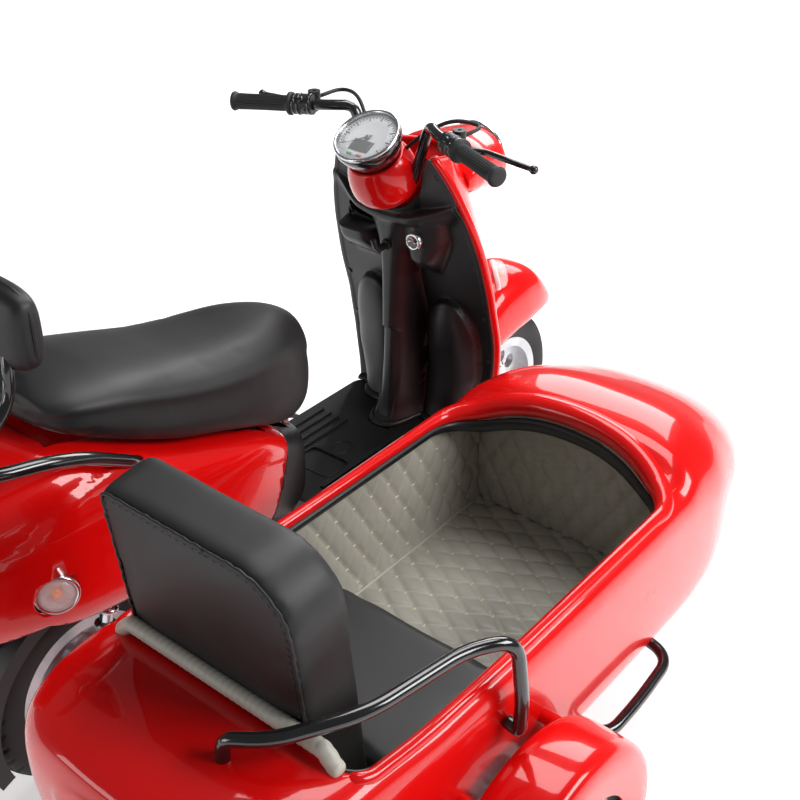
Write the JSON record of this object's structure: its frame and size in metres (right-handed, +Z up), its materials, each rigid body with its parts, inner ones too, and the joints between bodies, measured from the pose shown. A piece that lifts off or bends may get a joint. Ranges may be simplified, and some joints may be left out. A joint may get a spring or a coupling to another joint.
{
  "type": "motor scooter with sidecar",
  "caption": "Step-through motor scooter outfit with a teardrop sidecar on its right, turning wheels, steering front end and a hinged saddle over a tool box.",
  "frame": {"origin": "on the ground under the middle of the outfit's bounding box", "axes": "+X forward, +Y to the rider's left, +Z up"},
  "size_m": [1.8509, 1.325, 1.0497],
  "materials": {
    "red_paint": "deep gloss",
    "black_plastic": "fine grained satin",
    "black_steel": "gloss",
    "leatherette": "soft satin grain",
    "quilted_lining": "quilted satin",
    "grip_rubber": "ribbed matt",
    "tyre_rubber": "matt",
    "wheel_alloy": "silver lacquer",
    "bright_steel": "polished",
    "clear_lens": "clear",
    "lamp_lens": "clear over amber bulb",
    "red_lens": "gloss"
  },
  "bodies": {
    "chassis": {"scooter_frame": "black_steel", "battery_pack": "black_plastic", "floorboard": "black_plastic", "leg_shield": "red_paint", "inner_shield": "black_plastic", "bag_hook": "black_plastic", "key_switch": "bright_steel", "headlamp_cowl": "red_paint", "headlamp": "clear_lens", "front_indicators": "lamp_lens", "column_cover": "black_plastic", "tail_body": "red_paint", "underseat_tray": "black_plastic", "saddle_bracket": "bright_steel", "tail_lamp": "red_lens", "rear_indicators": "lamp_lens", "grab_rail": "black_steel", "pillion_pad": "leatherette", "rear_mudguard": "black_plastic", "swing_arm": "black_steel", "rear_shocks": "bright_steel", "rear_axle": "bright_steel", "sidecar_rails": "black_steel", "sidecar_crossbars": "black_steel", "hitch_struts": "black_steel", "sidecar_axle": "black_steel", "sidecar_mudguard": "red_paint", "sidecar_tub": "red_paint", "cockpit_lining": "quilted_lining", "sidecar_cushion": "leatherette", "sidecar_backrest": "leatherette", "hand_rail": "black_steel", "nose_bar": "black_steel"},
    "steering": {"steering_bowl": "red_paint", "fork": "wheel_alloy", "front_axle": "bright_steel", "front_mudguard": "red_paint", "handlebar": "black_steel", "grips": "grip_rubber", "lever_perches": "black_plastic", "brake_levers": "black_steel", "gauge_pod": "black_plastic", "gauge_glass": "clear_lens", "brake_hoses": "grip_rubber"},
    "front_wheel": {"front_rim": "wheel_alloy", "front_tyre": "tyre_rubber"},
    "rear_wheel": {"rear_rim": "wheel_alloy", "rear_tyre": "tyre_rubber"},
    "sidecar_wheel": {"sidecar_rim": "wheel_alloy", "sidecar_tyre": "tyre_rubber"},
    "saddle_lid": {"saddle_pan": "black_plastic", "saddle": "leatherette"}
  },
  "joints": [
    {"name": "steering_head", "type": "hinge", "parent": "chassis", "child": "steering", "pos_m": [0.5122, 0.3055, 0.52729], "axis": [-0.4772, 0, 0.8788], "range_deg": [-38, 38]},
    {"name": "front_wheel_spin", "type": "hinge", "parent": "steering", "child": "front_wheel", "pos_m": [0.7205, 0.3055, 0.205], "axis": [0, 1, 0], "continuous": true},
    {"name": "rear_wheel_spin", "type": "hinge", "parent": "chassis", "child": "rear_wheel", "pos_m": [-0.5895, 0.3055, 0.205], "axis": [0, 1, 0], "continuous": true},
    {"name": "sidecar_wheel_spin", "type": "hinge", "parent": "chassis", "child": "sidecar_wheel", "pos_m": [-0.3995, -0.5995, 0.205], "axis": [0, 1, 0], "continuous": true},
    {"name": "saddle_hinge", "type": "hinge", "parent": "chassis", "child": "saddle_lid", "pos_m": [-0.0435, 0.3055, 0.508], "axis": [0, 1, 0], "range_deg": [0, 55]}
  ]
}
